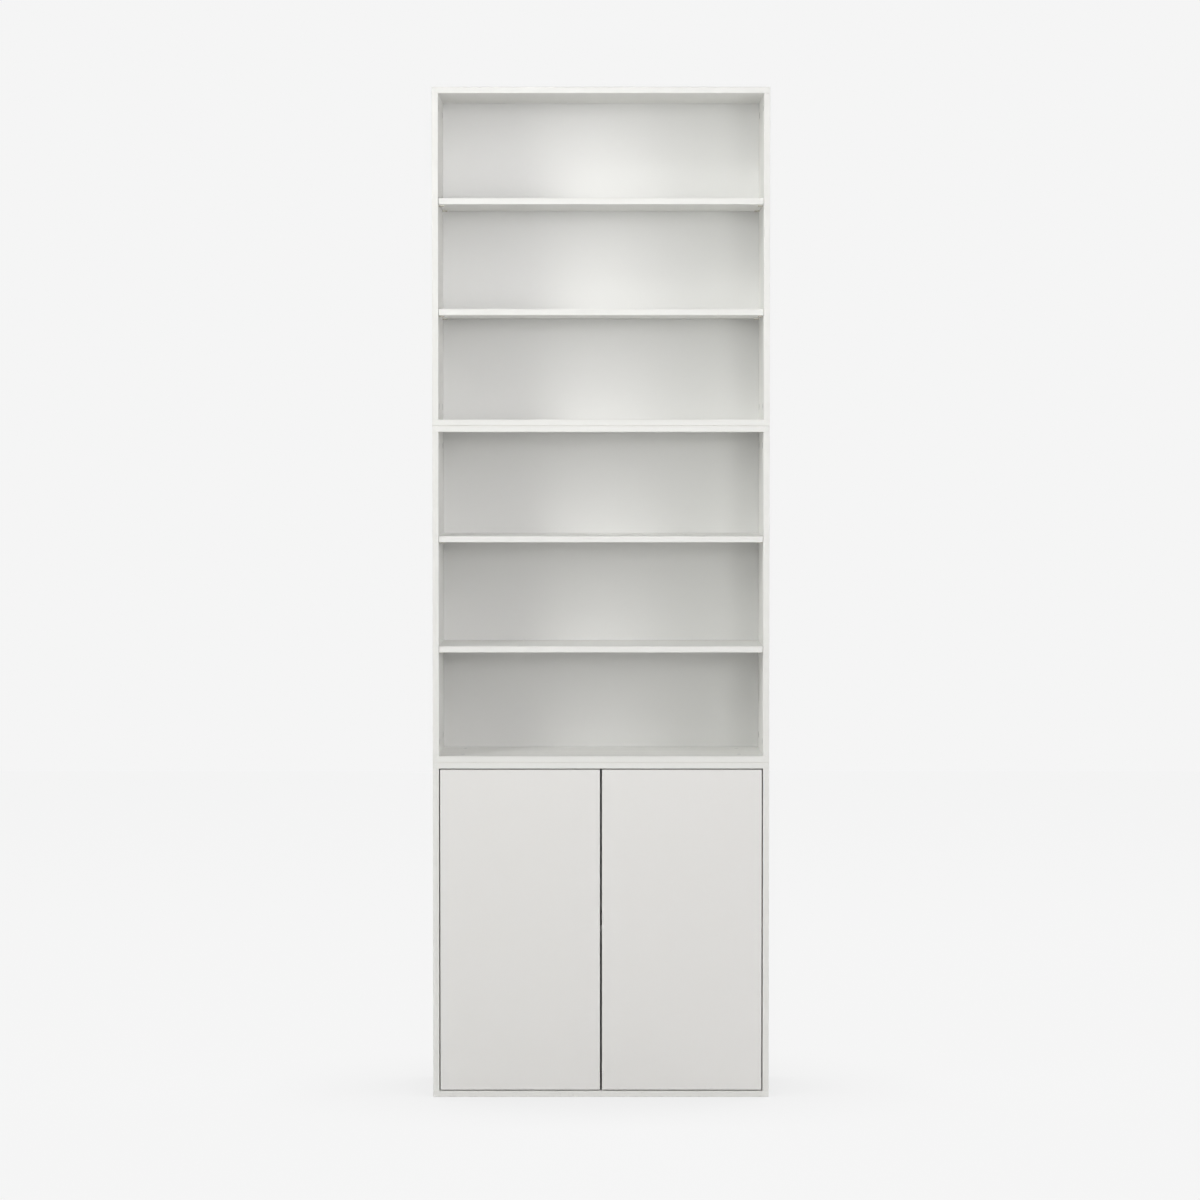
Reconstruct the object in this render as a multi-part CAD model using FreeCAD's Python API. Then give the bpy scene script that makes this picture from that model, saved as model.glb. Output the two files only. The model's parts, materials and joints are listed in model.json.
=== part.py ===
import FreeCAD, Part
import os

# Bookcase with cabinet doors: three equal boxes of coated board, stacked and screwed together.
# The upper two are open, with two shelves each. The base box has one inner shelf and two inset
# doors on concealed cup hinges, with a push latch for each door.
# Millimetres. +X is the viewer's right, +Y runs from the front to the back, +Z is up.
# The origin is the middle of the footprint, on the floor.

V = FreeCAD.Vector
X_AXIS = V(1, 0, 0)
Y_AXIS = V(0, 1, 0)
Z_AXIS = V(0, 0, 1)

# ---------------------------------------------------------------- carcass
WIDTH = 600.0
DEPTH = 240.0
BOX_HEIGHT = 600.0
BOARD = 11.0                    # thickness of sides, tops, bottoms and shelves
EDGE_EASE = 0.6                 # rounding of the banded front edges
SEAM_EASE = 1.1                 # the same where one box meets the next

BACK_THICKNESS = 3.0            # hardboard back, held in grooves
GROOVE_DEPTH = 5.0
GROOVE_FROM_REAR = 10.0         # board left behind the groove
BACK_SLACK = 0.1                # back panel to groove wall, each side
BACK_END_SLACK = 0.5            # back panel to groove bottom

SHELF_SETBACK = 2.0             # shelf front behind the carcass front
SHELF_SLACK = 0.5               # shelf to side, and shelf to back

PIN_RADIUS = 2.5                # shelf pins
PIN_IN_BOARD = 8.0
PIN_OUT = 9.0
PIN_HOLE_DEPTH = 8.5
PIN_SETBACK = 40.0              # pin axis from the front and rear edges
PIN_SLACK = 0.1                 # pin to hole, and pin to the notch under the shelf
PIN_CHAMFER = 0.6               # at the end that shows

# ---------------------------------------------------------------- carcass fittings
CAM_RADIUS = 6.0
CAM_HEIGHT = 9.0
CAM_FROM_END = 24.0             # cam centre from the end of the side
CAM_SETBACK = 37.0              # fitting line from the front and rear edges
CAM_SLACK = 0.1
CAM_SLOT_WIDTH = 1.4            # driver slot across the cam's face
CAM_SLOT_DEPTH = 1.5
CAM_POCKET_PLAY = 1.0           # room for the bolt head along its axis, inside the cam
BOLT_THREAD_RADIUS = 2.5
BOLT_THREAD_LENGTH = 8.0
BOLT_NECK_RADIUS = 1.8
BOLT_HEAD_RADIUS = 2.7
BOLT_HEAD_LENGTH = 2.4
BOLT_HOLE_RADIUS = 3.1
FITTING_SLACK = 0.05            # screws and dowels in their holes, radial
HOLE_END_GAP = 0.5              # free depth past the end of a screw, bolt or dowel

DOWEL_RADIUS = 3.0
DOWEL_LENGTH = 24.0
DOWEL_IN_PANEL = 8.0

STACK_SCREW_INSET = 52.0        # stacking screws from the outer side
STACK_SCREW_SETBACK = 50.0      # and from the front and rear edges
STACK_SCREW_RADIUS = 2.0
STACK_SCREW_LENGTH = 20.0
STACK_SCREW_TIP = 4.0           # length of the point
STACK_HEAD_RADIUS = 4.0
STACK_HEAD_HEIGHT = 2.2

# ---------------------------------------------------------------- doors
DOOR_THICKNESS = 15.0
SIDE_GAP = 2.0                  # door to side
TOP_GAP = 2.0
BOTTOM_GAP = 2.0
CENTRE_GAP = 3.5
DOOR_TO_SHELF = 8.0             # inner shelf behind the doors, past the sweep of their rear edges

# ---------------------------------------------------------------- wood screws of the fittings
SCREW_RADIUS = 1.75
SCREW_LENGTH = 11.0
SCREW_TIP = 3.0                 # length of the point
SCREW_HEAD_RADIUS = 3.4
SCREW_HEAD_HEIGHT = 1.9
SCREW_HOLE_DEPTH = 10.0         # pilot hole, measured from the board's face

# ---------------------------------------------------------------- push latches
LATCH_OFFSET = 70.0             # latch centre from the middle of the bookcase
LATCH_BODY_WIDTH = 27.0
LATCH_BODY_HEIGHT = 14.0
LATCH_BODY_LENGTH = 46.0
LATCH_CORNER = 2.0              # rounding of the moulded body
LATCH_EAR_WIDTH = 44.0          # over the two screw ears
LATCH_EAR_LENGTH = 22.0
LATCH_EAR_THICKNESS = 3.0
LATCH_SCREW_PITCH = 35.0
LATCH_FRONT = 6.0               # body front behind the doors
PLUNGER_WIDTH = 18.0
PLUNGER_HEIGHT = 8.0
PLUNGER_STROKE = 6.0            # travel out when the latch lets go
PLUNGER_GUIDE = 24.0            # length still inside the body after that travel
PLUNGER_DROP = 1.0              # plunger axis below the middle of the body
PLUNGER_SLACK = 0.3             # plunger to body all round, and magnet to strike plate
PLUNGER_EASE = 0.6              # rounding along its edges
PLUNGER_OVERTRAVEL = 2.5        # free depth behind the latched plunger
MAGNET_WIDTH = 11.0
MAGNET_HEIGHT = 5.0
MAGNET_DEPTH = 4.0
MAGNET_SLACK = 0.05
STRIKE_WIDTH = 20.0
STRIKE_HEIGHT = 11.0
STRIKE_THICKNESS = 1.0
STRIKE_CORNER = 2.0

# ---------------------------------------------------------------- concealed cup hinges
# Hinge places are measured from the door's hinge-side edge (across) and from its back face
# (inward, positive into the cabinet). Four pivots carry the door: the outer and the inner link
# each turn on the fixed arm at one end and in the cup at the other.
HINGE_FROM_END = 88.0           # cup centre from the door's top and bottom
CUP_RADIUS = 17.5               # hole in the door
CUP_CENTRE = 22.5               # across
CUP_DEPTH = 11.3
CUP_WALL = 1.0
CUP_BEVEL = 0.8                 # at the outer edge of the cup's floor
CUP_SLACK = 0.1                 # cup to hole wall
CUP_HOLE_DEPTH = 11.6
FLANGE_THICKNESS = 1.2
FLANGE_RIM = 1.4                # flange past the hole
FLANGE_LENGTH = 62.0            # over the two screw wings
FLANGE_WING = 13.0              # width of a wing
FLANGE_CORNER = 4.0
FLANGE_NOTCH_DEPTH = 0.8        # dip in the rim that the outer link swings through
CUP_SCREW_PITCH = 48.0
CUP_SCREW_OFFSET = 5.5          # screw line past the cup centre

ARM_OUTER_PIVOT = (28.1, 13.15)
ARM_INNER_PIVOT = (34.8, 0.3)
CUP_OUTER_PIVOT = (11.7, -6.95)
CUP_INNER_PIVOT = (15.0, -4.3)
INNER_EYE = (15.84, -4.6)       # rest place of the inner link's wide eye about its cup pivot
PIVOT_RADIUS = 1.0
PIVOT_SLACK = 0.05              # running fit of a pivot in its eye, radial
OPEN_PIVOT_SLACK = 0.99         # inner link on its cup pivot
EYE_WALL = 1.0
OUTER_LINK_BOW = 7.4
INNER_LINK_BOW = 2.0
LINK_HALF_WIDTH = 1.5
SPACER_RADIUS = 1.2             # bar that joins the two leaves of the inner link
SPACER_PLACE = (30.0, -2.0)
OUTER_LINK_HALF = 3.4           # half thickness of the solid outer link
LINK_GAP = 0.6                  # free space between neighbouring leaves
LEAF = 1.2                      # sheet thickness of links and arm
BOSS_LENGTH = 2.0               # outer pivot bosses inside the cup
BOSS_WALL = 1.2

ARM_REAR = 58.0                 # rear end of arm and saddle, inward
ARM_EDGE_ACROSS = 1.0           # free edges of the arm's cheeks
ARM_FREE_EDGE = [(ARM_EDGE_ACROSS, 22.0), (10.0, 13.0), (25.0, 9.5)]
ARM_CRANK = [(34.0, 16.5), (38.2, 8.0)]     # outer face of the web past its straight part
ARM_CRANK_START = 28.0          # inward
ARM_WEB_END = 4.0               # inward
PLATE_SCREWS = 37.0             # inward; the plate screws stand on this line
FIXING_SCREW = 50.0             # inward; the rear one of the two arm screws
PLATE_SCREW_PITCH = 32.0
PLATE_THICKNESS = 2.0
PLATE_WING = 13.0
PLATE_CORNER = 4.0
PLATE_WING_REACH = 6.5          # wing past its screw
SADDLE_START = 29.0             # inward
SADDLE_HEIGHT = 7.0             # saddle top from the side's face
SADDLE_SLACK = 0.3              # saddle to the arm's cheeks
ARM_SCREW_RADIUS = 1.75
ARM_SCREW_DEPTH = 5.0           # in the saddle
ARM_HEAD_RADIUS = 3.0
ARM_HEAD_HEIGHT = 1.8
ARM_HEAD_BEVEL = 0.6
ARM_BEND = 0.9                  # outer radius where the web turns into the cheeks

# ---------------------------------------------------------------- derived places
FRONT = -DEPTH / 2
REAR = DEPTH / 2
INNER_X = WIDTH / 2 - BOARD     # inner face of a side
BACK_FRONT_Y = REAR - GROOVE_FROM_REAR - BACK_THICKNESS - BACK_SLACK
INNER_HEIGHT = BOX_HEIGHT - 2 * BOARD
DOOR_BACK = FRONT + DOOR_THICKNESS
DOOR_LOW = BOARD + BOTTOM_GAP
DOOR_HIGH = BOX_HEIGHT - BOARD - TOP_GAP
LATCH_TOP = BOX_HEIGHT - BOARD
PLUNGER_Z = LATCH_TOP - LATCH_BODY_HEIGHT / 2 - PLUNGER_DROP
STRIKE_FACE = DOOR_BACK + STRIKE_THICKNESS
PLUNGER_TIP = STRIKE_FACE + PLUNGER_SLACK
LATCH_FACE = DOOR_BACK + LATCH_FRONT
PLUNGER_REAR = LATCH_FACE + PLUNGER_GUIDE + PLUNGER_STROKE
HINGE_HEIGHTS = [DOOR_LOW + HINGE_FROM_END, DOOR_HIGH - HINGE_FROM_END]
SIDE_ACROSS = -SIDE_GAP         # the side's inner face in hinge measure
SADDLE_TOP = SIDE_ACROSS + SADDLE_HEIGHT
PLATE_TOP = SIDE_ACROSS + PLATE_THICKNESS
CUP_FLOOR = CUP_WALL - CUP_DEPTH
CUP_INSIDE = CUP_RADIUS - CUP_SLACK - CUP_WALL
CUP_SCREW_ACROSS = CUP_CENTRE + CUP_SCREW_OFFSET

# Levels of the hinge's leaves above and below its middle plane
ARM_LOW = OUTER_LINK_HALF + LINK_GAP
ARM_HIGH = ARM_LOW + LEAF
INNER_LOW = ARM_HIGH + LINK_GAP
INNER_HIGH = INNER_LOW + LEAF
BOSS_LOW = INNER_HIGH + LINK_GAP
BOSS_HIGH = BOSS_LOW + BOSS_LENGTH

SAME_PLACE = 1e-6               # two places or directions closer than this are the same

BOX_NAMES = ["base_box", "middle_box", "top_box"]
SHELF_NAMES = {
    "base_box": ["inner_shelf"],
    "middle_box": ["lower_shelf", "upper_shelf"],
    "top_box": ["lower_shelf", "upper_shelf"],
}


def block(x0, x1, y0, y1, z0, z1):
    """A rectangular solid between two corners."""
    return Part.makeBox(x1 - x0, y1 - y0, z1 - z0, V(x0, y0, z0))


def rod(radius, length, start, direction):
    """A round bar from a start point."""
    return Part.makeCylinder(radius, length, start, direction)


def turned(points, start, direction):
    """A solid of revolution: (radius, distance) points turned about an axis through start."""
    wire = Part.makePolygon([V(r, 0, z) for r, z in points] + [V(points[0][0], 0, points[0][1])])
    solid = Part.Face(wire).revolve(V(0, 0, 0), Z_AXIS, 360)
    turn = FreeCAD.Rotation(Z_AXIS, direction)
    solid.Placement = FreeCAD.Placement(start, turn)
    return solid


def mirrored(shape):
    """The right-hand twin of a left-hand piece."""
    return shape.mirror(V(0, 0, 0), X_AXIS)


def both_sides(shapes):
    """Pieces and their twins on the other side of the middle plane."""
    return shapes + [mirrored(s) for s in shapes]


def front_edges(board, front_y):
    """The edges that lie in the plane of a board's front face."""
    return [e for e in board.Edges if e.BoundBox.YMax < front_y + SAME_PLACE]


def ease_front(board, front_y):
    """Round the four edges of a board's front face."""
    return board.makeFillet(EDGE_EASE, front_edges(board, front_y))


def ease_panel_front(panel, outer_z):
    """Round the front of a top or bottom panel, more along its outer edge, where boxes meet."""
    seam = [e for e in front_edges(panel, FRONT) if abs(e.CenterOfMass.z - outer_z) < SAME_PLACE]
    panel = panel.makeFillet(SEAM_EASE, seam)
    rest = [e for e in front_edges(panel, FRONT)
            if abs(e.CenterOfMass.z - outer_z) > SEAM_EASE + SAME_PLACE]
    return panel.makeFillet(EDGE_EASE, rest)


# ---------------------------------------------------------------- places shared by the boards
def fitting_rows(setback):
    """The front and rear lines of a fitting, as Y values."""
    return [FRONT + setback, REAR - setback]


def shelf_undersides(count):
    """Undersides of equally spaced shelves, above the foot of the box. Pin axes lie in them."""
    clear = (INNER_HEIGHT - count * BOARD) / (count + 1)
    return [BOARD + (k + 1) * clear + k * BOARD for k in range(count)]


# ---------------------------------------------------------------- carcass boards
def groove_along_x(z0, z1):
    """The back panel's groove in a top or bottom panel, ending with the back panel."""
    reach = INNER_X + GROOVE_DEPTH
    y0 = REAR - GROOVE_FROM_REAR - BACK_THICKNESS - 2 * BACK_SLACK
    return block(-reach, reach, y0, REAR - GROOVE_FROM_REAR, z0, z1)


def end_panel(z0, is_top, has_box_above, has_box_below):
    """Top or bottom panel of a box: full width, over or under the sides."""
    z1 = z0 + BOARD
    panel = block(-WIDTH / 2, WIDTH / 2, FRONT, REAR, z0, z1)
    panel = ease_panel_front(panel, z1 if is_top else z0)
    inner_z = z0 if is_top else z1
    into = Z_AXIS if is_top else -Z_AXIS
    cuts = []
    if is_top:
        cuts.append(groove_along_x(z0, z0 + GROOVE_DEPTH))
    else:
        cuts.append(groove_along_x(z1 - GROOVE_DEPTH, z1))
    mid_x = WIDTH / 2 - BOARD / 2
    bolt_depth = BOLT_THREAD_LENGTH + HOLE_END_GAP
    for side in (-1, 1):
        for y in fitting_rows(CAM_SETBACK):
            start = V(side * mid_x, y, inner_z)
            cuts.append(rod(BOLT_THREAD_RADIUS + FITTING_SLACK, bolt_depth, start, into))
        start = V(side * mid_x, 0, inner_z)
        cuts.append(rod(DOWEL_RADIUS + FITTING_SLACK, DOWEL_IN_PANEL + HOLE_END_GAP, start, into))
    if is_top and has_box_above:
        for x, y in stack_screw_places():
            depth = STACK_SCREW_LENGTH - BOARD + HOLE_END_GAP
            cuts.append(rod(STACK_SCREW_RADIUS + FITTING_SLACK, depth, V(x, y, z1), -Z_AXIS))
    if not is_top and has_box_below:
        for x, y in stack_screw_places():
            cuts.append(countersunk_hole(V(x, y, z1)))
    return panel.cut(cuts)


def stack_screw_places():
    """X and Y of the four screws that join two boxes."""
    x = WIDTH / 2 - STACK_SCREW_INSET
    return [(side * x, y) for side in (-1, 1) for y in fitting_rows(STACK_SCREW_SETBACK)]


def countersunk_hole(top):
    """Through hole in a bottom panel with a seat for the screw head."""
    r = STACK_SCREW_RADIUS + FITTING_SLACK
    head = STACK_HEAD_RADIUS + FITTING_SLACK
    profile = [(0, 0), (head, 0), (r, STACK_HEAD_HEIGHT), (r, BOARD), (0, BOARD)]
    return turned(profile, top, -Z_AXIS)


def left_side(z0, shelf_count):
    """Left side of a box, between its top and bottom panels."""
    low = z0 + BOARD
    high = low + INNER_HEIGHT
    outer = -WIDTH / 2
    inner = -INNER_X
    side = block(outer, inner, FRONT, REAR, low, high)
    side = ease_front(side, FRONT)
    groove_y = REAR - GROOVE_FROM_REAR - BACK_THICKNESS - 2 * BACK_SLACK
    cuts = [block(inner - GROOVE_DEPTH, inner, groove_y, REAR - GROOVE_FROM_REAR, low, high)]
    mid_x = outer + BOARD / 2
    for end, into in ((low, Z_AXIS), (high, -Z_AXIS)):
        for y in fitting_rows(CAM_SETBACK):
            start = V(mid_x, y, end)
            cuts.append(rod(BOLT_HOLE_RADIUS, CAM_FROM_END, start, into))
            centre = V(inner, y, end) + into * CAM_FROM_END
            cuts.append(rod(CAM_RADIUS + CAM_SLACK, CAM_HEIGHT + CAM_SLACK, centre, -X_AXIS))
        depth = DOWEL_LENGTH - DOWEL_IN_PANEL + HOLE_END_GAP
        cuts.append(rod(DOWEL_RADIUS + FITTING_SLACK, depth, V(mid_x, 0, end), into))
    for underside in shelf_undersides(shelf_count):
        for y in fitting_rows(PIN_SETBACK):
            start = V(inner, y, z0 + underside)
            cuts.append(rod(PIN_RADIUS + PIN_SLACK, PIN_HOLE_DEPTH, start, -X_AXIS))
    return side.cut(cuts)


def back_panel(z0):
    """Thin back, let into the grooves on all four sides."""
    reach = GROOVE_DEPTH - BACK_END_SLACK
    y0 = BACK_FRONT_Y
    return block(-INNER_X - reach, INNER_X + reach, y0, y0 + BACK_THICKNESS,
                 z0 + BOARD - reach, z0 + BOX_HEIGHT - BOARD + reach)


def shelf(z0, underside, front_y):
    """A loose shelf with notches that drop over its four pins."""
    low = z0 + underside
    half = INNER_X - SHELF_SLACK
    board = block(-half, half, front_y, BACK_FRONT_Y - SHELF_SLACK, low, low + BOARD)
    board = ease_front(board, front_y)
    notch_length = PIN_OUT - SHELF_SLACK + PIN_SLACK
    notches = []
    for y in fitting_rows(PIN_SETBACK):
        start = V(-half, y, z0 + underside)
        notches.append(rod(PIN_RADIUS + PIN_SLACK, notch_length, start, X_AXIS))
    return board.cut(both_sides(notches))


# ---------------------------------------------------------------- small carcass fittings
def shelf_pins(z0, shelf_count):
    """Steel pins, four to a shelf."""
    length = PIN_IN_BOARD + PIN_OUT
    profile = [(0, 0), (PIN_RADIUS, 0), (PIN_RADIUS, length - PIN_CHAMFER),
               (PIN_RADIUS - PIN_CHAMFER, length), (0, length)]
    pins = []
    for underside in shelf_undersides(shelf_count):
        for y in fitting_rows(PIN_SETBACK):
            start = V(-INNER_X - PIN_IN_BOARD, y, z0 + underside)
            pins.append(turned(profile, start, X_AXIS))
    return both_sides(pins)


def side_ends():
    """Each end of each left side: its height and the direction into the side."""
    ends = []
    for index in range(len(BOX_NAMES)):
        low = index * BOX_HEIGHT + BOARD
        ends.append((low, Z_AXIS))
        ends.append((low + INNER_HEIGHT, -Z_AXIS))
    return ends


def cam_bolts():
    """Bolts screwed into the panels, with a necked head that the cam pulls on."""
    tip = CAM_FROM_END + BOLT_HEAD_LENGTH / 2
    neck = tip - BOLT_HEAD_LENGTH
    profile = [(0, -BOLT_THREAD_LENGTH), (BOLT_THREAD_RADIUS, -BOLT_THREAD_LENGTH),
               (BOLT_THREAD_RADIUS, 0), (BOLT_NECK_RADIUS, 0),
               (BOLT_NECK_RADIUS, neck), (BOLT_HEAD_RADIUS, neck), (BOLT_HEAD_RADIUS, tip), (0, tip)]
    mid_x = -WIDTH / 2 + BOARD / 2
    bolts = []
    for end, into in side_ends():
        for y in fitting_rows(CAM_SETBACK):
            bolts.append(turned(profile, V(mid_x, y, end), into))
    return both_sides(bolts)


def cams():
    """Die-cast cams, hollowed for the bolt head, with a driver slot in the face."""
    mid_x = -WIDTH / 2 + BOARD / 2
    pocket_length = BOLT_HEAD_LENGTH + CAM_POCKET_PLAY
    pieces = []
    for end, into in side_ends():
        for y in fitting_rows(CAM_SETBACK):
            centre = V(-INNER_X, y, end) + into * CAM_FROM_END
            cam = rod(CAM_RADIUS, CAM_HEIGHT, centre, -X_AXIS)
            axis_point = V(mid_x, y, end)
            neck_cut = rod(BOLT_NECK_RADIUS + CAM_SLACK, CAM_FROM_END, axis_point, into)
            pocket_start = axis_point + into * (CAM_FROM_END - pocket_length / 2)
            pocket = rod(BOLT_HEAD_RADIUS + CAM_SLACK, pocket_length, pocket_start, into)
            slot = block(-INNER_X - CAM_SLOT_DEPTH, -INNER_X,
                         y - CAM_SLOT_WIDTH / 2, y + CAM_SLOT_WIDTH / 2,
                         centre.z - CAM_RADIUS, centre.z + CAM_RADIUS)
            pieces.append(cam.cut([neck_cut, pocket, slot]))
    return both_sides(pieces)


def dowels():
    """Beech dowels, one in the middle of each joint between a side and a panel."""
    mid_x = -WIDTH / 2 + BOARD / 2
    pieces = []
    for end, into in side_ends():
        start = V(mid_x, 0, end) - into * DOWEL_IN_PANEL
        pieces.append(rod(DOWEL_RADIUS, DOWEL_LENGTH, start, into))
    return both_sides(pieces)


def stacking_screws():
    """Countersunk screws down through each upper box into the box below."""
    r = STACK_SCREW_RADIUS
    profile = [(0, 0), (STACK_HEAD_RADIUS, 0), (r, STACK_HEAD_HEIGHT),
               (r, STACK_SCREW_LENGTH - STACK_SCREW_TIP), (0, STACK_SCREW_LENGTH)]
    screws = []
    for index in range(1, len(BOX_NAMES)):
        top = index * BOX_HEIGHT + BOARD
        for x, y in stack_screw_places():
            screws.append(turned(profile, V(x, y, top), -Z_AXIS))
    return screws


# ---------------------------------------------------------------- screws of the door fittings
def wood_screw(face, into):
    """Countersunk wood screw whose head is flush with the outer face of a fitting."""
    profile = [(0, 0), (SCREW_HEAD_RADIUS, 0), (SCREW_RADIUS, SCREW_HEAD_HEIGHT),
               (SCREW_RADIUS, SCREW_LENGTH - SCREW_TIP), (0, SCREW_LENGTH)]
    return turned(profile, face, into)


def screw_seat(face, into, thickness):
    """Countersunk hole through a fitting of a given thickness."""
    r = SCREW_RADIUS + FITTING_SLACK
    head = SCREW_HEAD_RADIUS + FITTING_SLACK
    depth = min(SCREW_HEAD_HEIGHT, thickness)
    at_depth = head + (r - head) * depth / SCREW_HEAD_HEIGHT
    profile = [(0, 0), (head, 0), (at_depth, depth), (at_depth, thickness), (0, thickness)]
    return turned(profile, face, into)


def pilot_hole(face, into, fitting_thickness):
    """Hole in a board under a fitting, wide enough for what the head leaves of its cone."""
    r = SCREW_RADIUS + FITTING_SLACK
    sunk = max(SCREW_HEAD_HEIGHT - fitting_thickness, 0)
    wide = r + (SCREW_HEAD_RADIUS - SCREW_RADIUS) * sunk / SCREW_HEAD_HEIGHT
    if sunk == 0:
        return rod(r, SCREW_HOLE_DEPTH, face, into)
    profile = [(0, 0), (wide, 0), (r, sunk), (r, SCREW_HOLE_DEPTH), (0, SCREW_HOLE_DEPTH)]
    return turned(profile, face, into)


# ---------------------------------------------------------------- push latch
def rounded_block(x0, x1, y0, y1, z0, z1, radius, axis):
    """A block with the edges along one axis rounded."""
    solid = block(x0, x1, y0, y1, z0, z1)
    along = [e for e in solid.Edges if e.tangentAt(e.FirstParameter).cross(axis).Length < SAME_PLACE]
    return solid.makeFillet(radius, along)


def latch_screw_places():
    """X and Y of the two screws of the left latch."""
    y = LATCH_FACE + LATCH_EAR_LENGTH / 2
    return [(-LATCH_OFFSET + s * LATCH_SCREW_PITCH / 2, y) for s in (-1, 1)]


def latch_housing():
    """Moulded body with two screw ears and a pocket for the plunger."""
    half = LATCH_BODY_WIDTH / 2
    x = -LATCH_OFFSET
    low = LATCH_TOP - LATCH_BODY_HEIGHT
    body = rounded_block(x - half, x + half, LATCH_FACE, LATCH_FACE + LATCH_BODY_LENGTH,
                         low, LATCH_TOP, LATCH_CORNER, Z_AXIS)
    ear = LATCH_EAR_WIDTH / 2
    ears = rounded_block(x - ear, x + ear, LATCH_FACE, LATCH_FACE + LATCH_EAR_LENGTH,
                         LATCH_TOP - LATCH_EAR_THICKNESS, LATCH_TOP, LATCH_CORNER, Z_AXIS)
    pocket_half = PLUNGER_WIDTH / 2 + PLUNGER_SLACK
    pocket_rise = PLUNGER_HEIGHT / 2 + PLUNGER_SLACK
    pocket = block(x - pocket_half, x + pocket_half, LATCH_FACE,
                   PLUNGER_REAR + PLUNGER_OVERTRAVEL,
                   PLUNGER_Z - pocket_rise, PLUNGER_Z + pocket_rise)
    ear_face = LATCH_TOP - LATCH_EAR_THICKNESS
    seats = [screw_seat(V(screw_x, screw_y, ear_face), Z_AXIS, LATCH_EAR_THICKNESS)
             for screw_x, screw_y in latch_screw_places()]
    return body.fuse(ears).removeSplitter().cut([pocket] + seats)


def magnet_block(slack):
    """The magnet in the plunger's nose, or its pocket when given some slack."""
    half = MAGNET_WIDTH / 2 + slack
    rise = MAGNET_HEIGHT / 2 + slack
    return block(-LATCH_OFFSET - half, -LATCH_OFFSET + half,
                 PLUNGER_TIP, PLUNGER_TIP + MAGNET_DEPTH + slack,
                 PLUNGER_Z - rise, PLUNGER_Z + rise)


def latch_plunger():
    """Sliding carriage that holds the magnet."""
    half = PLUNGER_WIDTH / 2
    rise = PLUNGER_HEIGHT / 2
    carriage = rounded_block(-LATCH_OFFSET - half, -LATCH_OFFSET + half,
                             PLUNGER_TIP, PLUNGER_REAR,
                             PLUNGER_Z - rise, PLUNGER_Z + rise, PLUNGER_EASE, Y_AXIS)
    return carriage.cut(magnet_block(MAGNET_SLACK))


def strike_plate():
    """Steel plate on the back of the door, facing the magnet."""
    half = STRIKE_WIDTH / 2
    rise = STRIKE_HEIGHT / 2
    plate = rounded_block(-LATCH_OFFSET - half, -LATCH_OFFSET + half, DOOR_BACK, STRIKE_FACE,
                          PLUNGER_Z - rise, PLUNGER_Z + rise, STRIKE_CORNER, Y_AXIS)
    return plate.cut(screw_seat(strike_screw_place(), -Y_AXIS, STRIKE_THICKNESS))


def strike_screw_place():
    """Centre of the strike plate's outer face."""
    return V(-LATCH_OFFSET, STRIKE_FACE, PLUNGER_Z)


# ---------------------------------------------------------------- hinge pieces
# Each piece is made in the hinge's own frame: x across, y inward, z from its middle plane.
def at_hinge(across, inward, height):
    """A point of a left-hand hinge in the bookcase's frame."""
    return V(-INNER_X + SIDE_GAP + across, DOOR_BACK + inward, height)


def flat_piece(outline, low, high):
    """A flat piece with a straight-sided outline of (across, inward) points."""
    wire = Part.makePolygon([V(p, q, low) for p, q in outline + outline[:1]])
    return Part.Face(wire).extrude(V(0, 0, high - low))


def pivot_rod(place, radius, low, high):
    """A round bar along a pivot axis."""
    return rod(radius, high - low, V(place[0], place[1], low), Z_AXIS)


def bowed_bar(start, end, bow, low, high):
    """A flat bar along an arc between two pivots, bowed to the right of its path."""
    a = V(start[0], start[1], low)
    b = V(end[0], end[1], low)
    chord = (b - a).Length
    along = (b - a) / chord
    right = V(along.y, -along.x, 0)
    radius = (chord * chord / 4 + bow * bow) / (2 * bow)
    centre = (a + b) / 2 + right * (bow - radius)
    rays = [(a - centre) / radius, right, (b - centre) / radius]
    near = [centre + ray * (radius - LINK_HALF_WIDTH) for ray in rays]
    far = [centre + ray * (radius + LINK_HALF_WIDTH) for ray in rays]
    outline = [Part.Arc(near[0], near[1], near[2]).toShape(), Part.makeLine(near[2], far[2]),
               Part.Arc(far[2], far[1], far[0]).toShape(), Part.makeLine(far[0], near[0])]
    return Part.Face(Part.Wire(outline)).extrude(V(0, 0, high - low))


def link_leaf(cup_end, cup_hole, arm_end, bow, low, high):
    """A bowed bar with an eye at each end."""
    arm_hole = PIVOT_RADIUS + PIVOT_SLACK
    bar = bowed_bar(cup_end, arm_end, bow, low, high)
    eyes = [pivot_rod(cup_end, cup_hole + EYE_WALL, low, high),
            pivot_rod(arm_end, arm_hole + EYE_WALL, low, high)]
    holes = [pivot_rod(cup_end, cup_hole, low, high), pivot_rod(arm_end, arm_hole, low, high)]
    return bar.fuse(eyes).cut(holes)


def outer_link():
    """Solid link between the arm's cheeks."""
    hole = PIVOT_RADIUS + PIVOT_SLACK
    return link_leaf(CUP_OUTER_PIVOT, hole, ARM_OUTER_PIVOT, OUTER_LINK_BOW,
                     -OUTER_LINK_HALF, OUTER_LINK_HALF)


def inner_link():
    """Two leaves outside the arm's cheeks, joined by a spacer bar."""
    hole = PIVOT_RADIUS + OPEN_PIVOT_SLACK
    leaves = [link_leaf(INNER_EYE, hole, ARM_INNER_PIVOT, INNER_LINK_BOW, low, low + LEAF)
              for low in (INNER_LOW, -INNER_HIGH)]
    spacer = pivot_rod(SPACER_PLACE, SPACER_RADIUS, -INNER_HIGH, INNER_HIGH)
    return spacer.fuse(leaves)


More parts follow.
